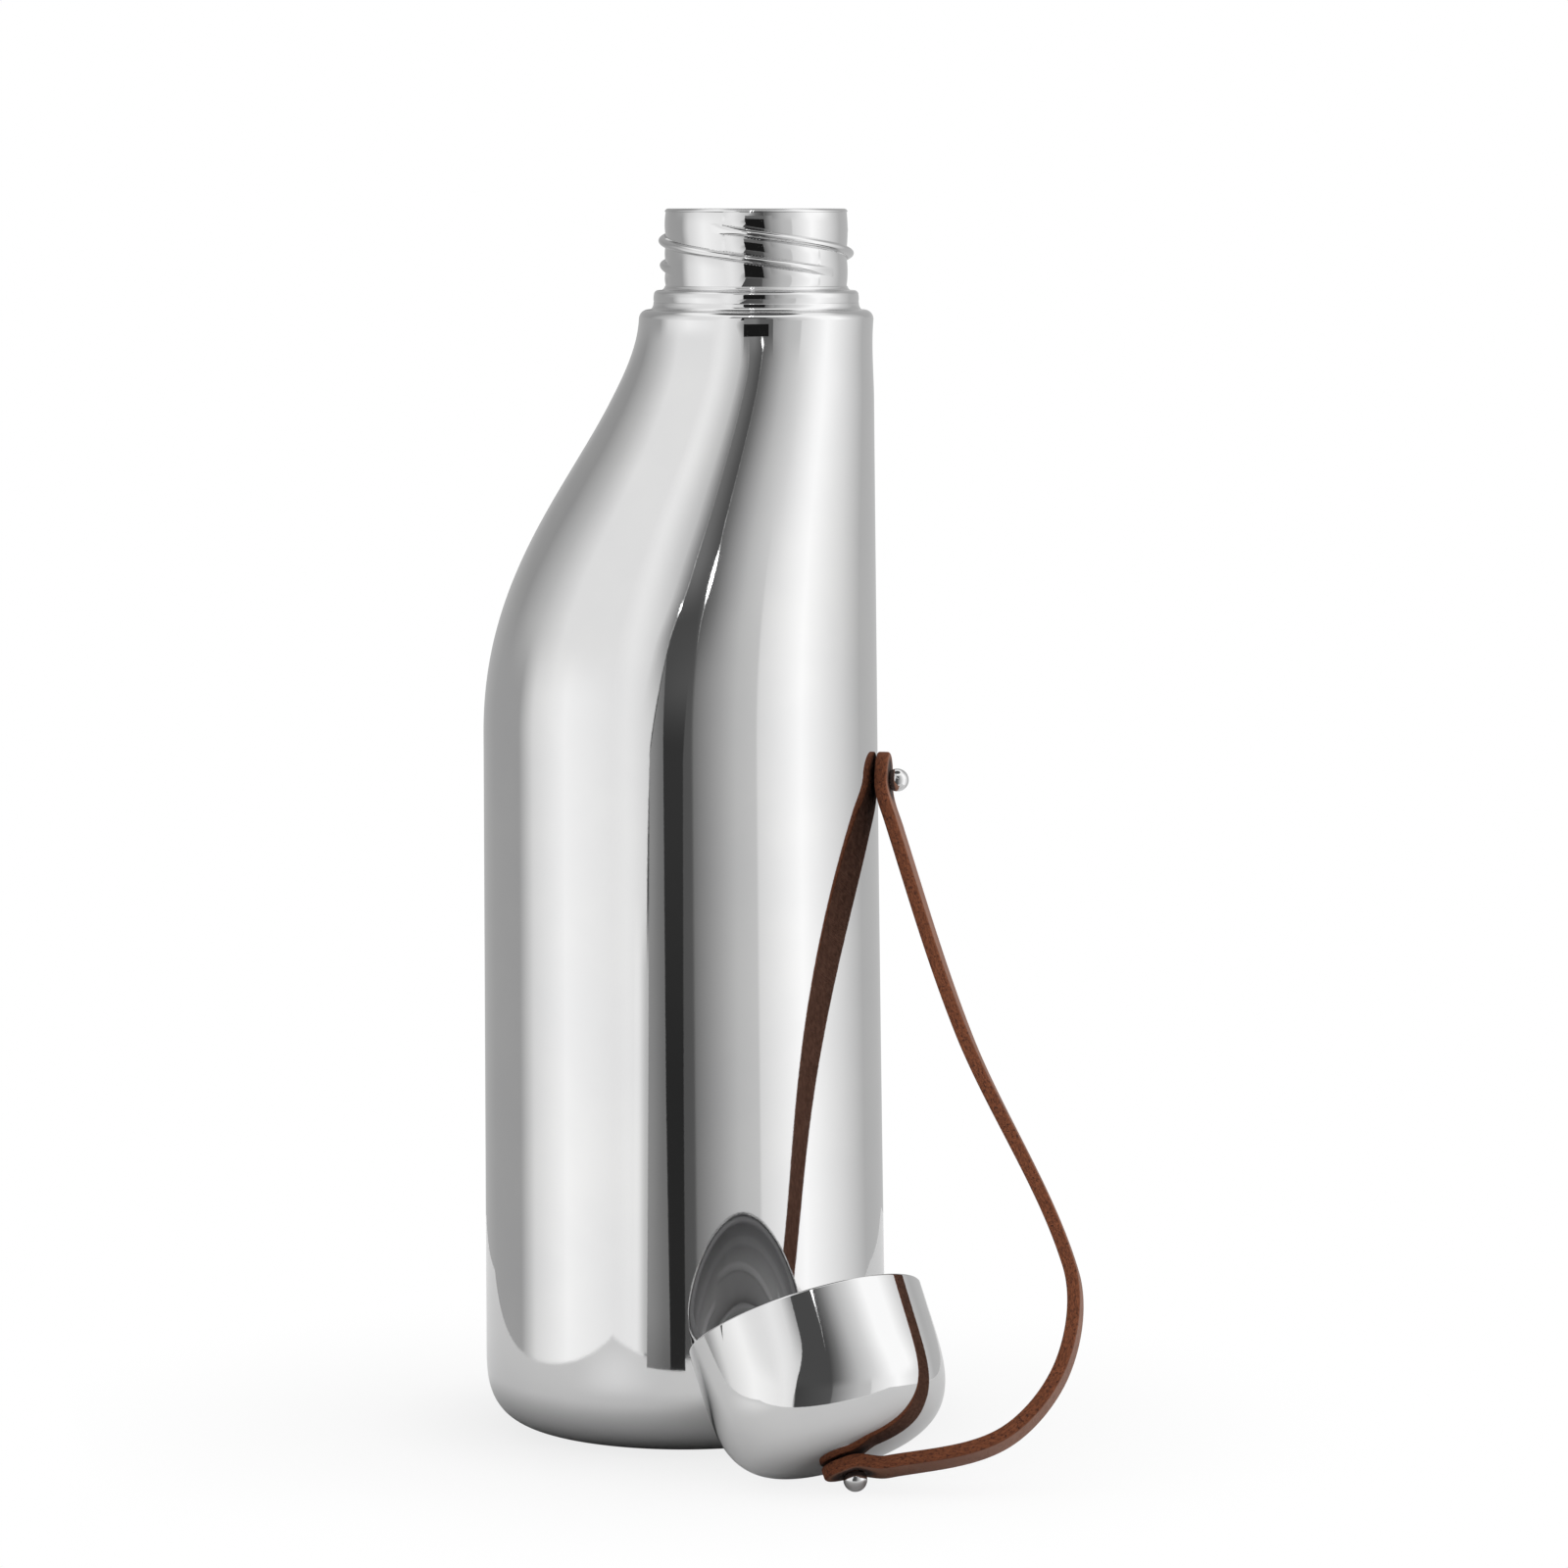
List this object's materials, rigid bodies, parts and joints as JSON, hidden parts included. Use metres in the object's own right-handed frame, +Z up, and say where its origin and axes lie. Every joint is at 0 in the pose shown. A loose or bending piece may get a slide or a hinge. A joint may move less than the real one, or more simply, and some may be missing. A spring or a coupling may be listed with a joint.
{
  "type": "gourd water bottle",
  "caption": "Double-wall steel vacuum bottle with a lopsided gourd body, threaded neck and domed screw cap that leans beside it on a leather strap between ball studs",
  "frame": {"origin": "centre of the foot ring, on the surface the bottle stands on", "axes": "+Z up the bottle to its lip; +X to the straight side, which carries the strap stud; -Y to the side where the cap leans"},
  "size_m": [0.1115, 0.1074, 0.218],
  "materials": {
    "polished_steel": "mirror polished stainless steel",
    "plain_steel": "plain drawn stainless steel",
    "sealing_glass": "dark melted glass",
    "getter_metal": "pressed grey metal powder",
    "insert_plastic": "dark grey moulded plastic",
    "gasket_silicone": "dark grey silicone",
    "foam": "pale closed cell foam",
    "strap_leather": "oiled brown leather with a raw fuzzy edge"
  },
  "bodies": {
    "bottle": {"outer_shell": "polished_steel", "base_cup": "polished_steel", "middle_base": "plain_steel", "seal_plug": "sealing_glass", "getter": "getter_metal", "inner_body": "plain_steel", "inner_base": "plain_steel", "threaded_neck": "polished_steel", "side_boss": "plain_steel", "side_stud": "polished_steel"},
    "strap": {"strap": "strap_leather"},
    "cap": {"cap_shell": "polished_steel", "cap_insert": "insert_plastic", "cap_gasket": "gasket_silicone", "cap_foam": "foam", "cap_nut": "plain_steel", "cap_stud": "polished_steel"}
  },
  "joints": [
    {"name": "strap_swing", "type": "hinge", "parent": "bottle", "child": "strap", "pos_m": [0.03592, 0, 0.1167], "axis": [-1, 0, 0], "range_deg": [0, 110]},
    {"name": "cap_swivel", "type": "hinge", "parent": "strap", "child": "cap", "pos_m": [0.03742, -0.0561, 0.00446], "axis": [0.3428, -0.3428, -0.8746], "continuous": true}
  ]
}
